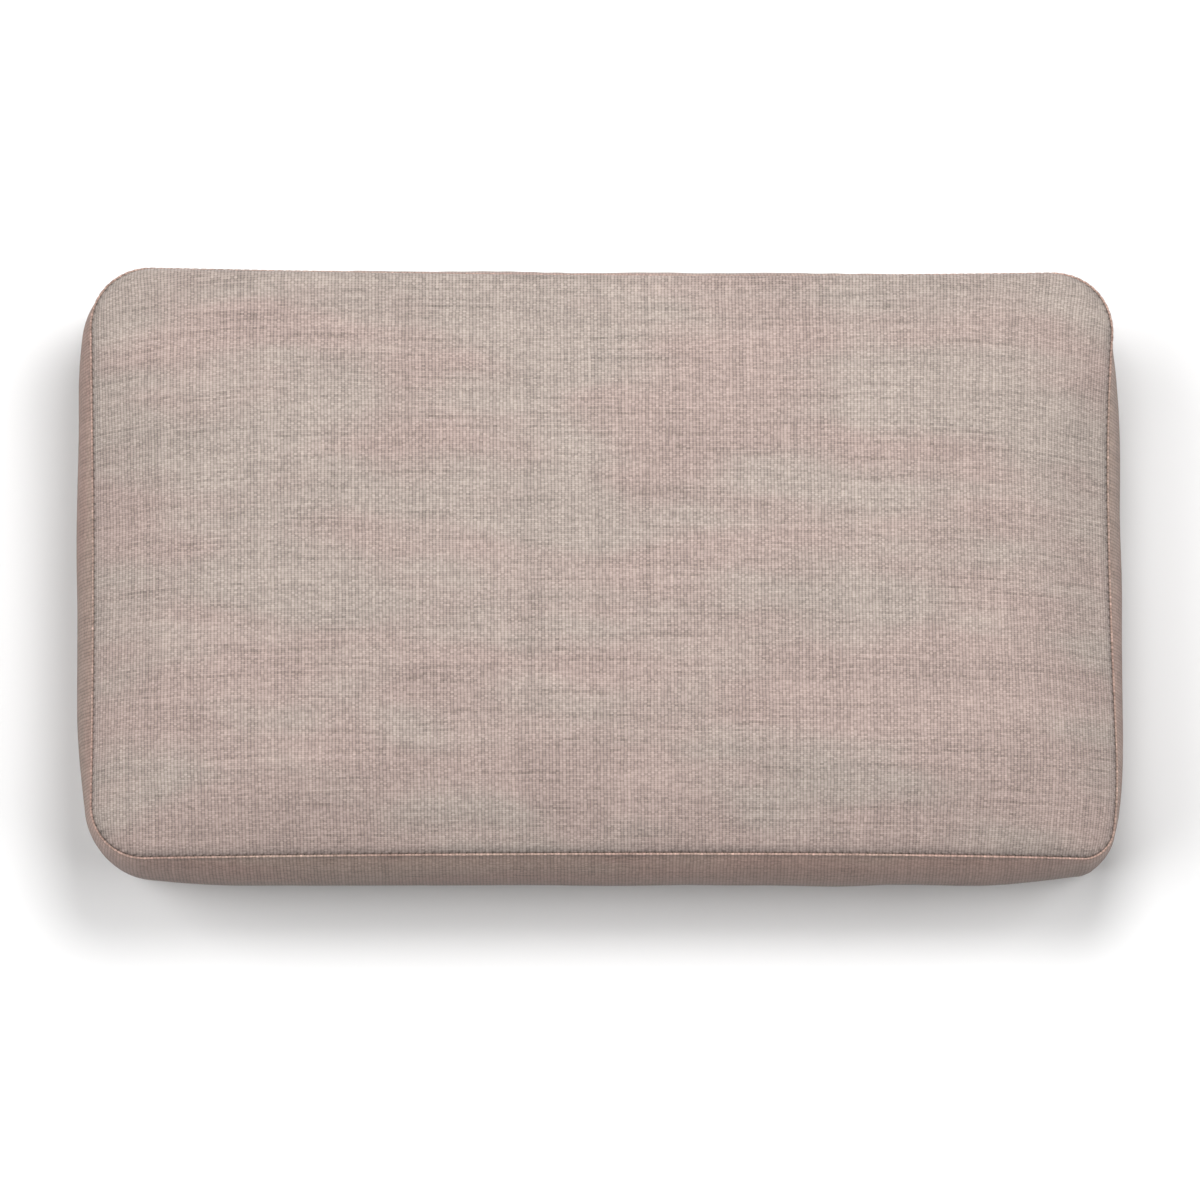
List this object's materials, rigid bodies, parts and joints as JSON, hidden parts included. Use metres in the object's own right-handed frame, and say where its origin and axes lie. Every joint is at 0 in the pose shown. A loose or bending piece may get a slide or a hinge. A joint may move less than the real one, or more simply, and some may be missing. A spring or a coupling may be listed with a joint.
{
  "type": "boxed back cushion",
  "caption": "Boxed sofa back cushion in taupe woven cloth: crowned front panel, plain stitched seams and a bulging boxing band, lying on its back.",
  "frame": {"origin": "middle of the cushion's base, on the surface that it rests on", "axes": "+Z out of the front panel, +X to the right and +Y to the top edge as seen from the front"},
  "size_m": [0.6472, 0.3833, 0.1395],
  "materials": {
    "panel_cloth": "matte plain weave of taupe yarns",
    "boxing_cloth": "matte plain weave of taupe yarns"
  },
  "bodies": {
    "root": {"front_panel": "panel_cloth", "cushion_body": "boxing_cloth", "back_panel": "panel_cloth"}
  },
  "joints": []
}
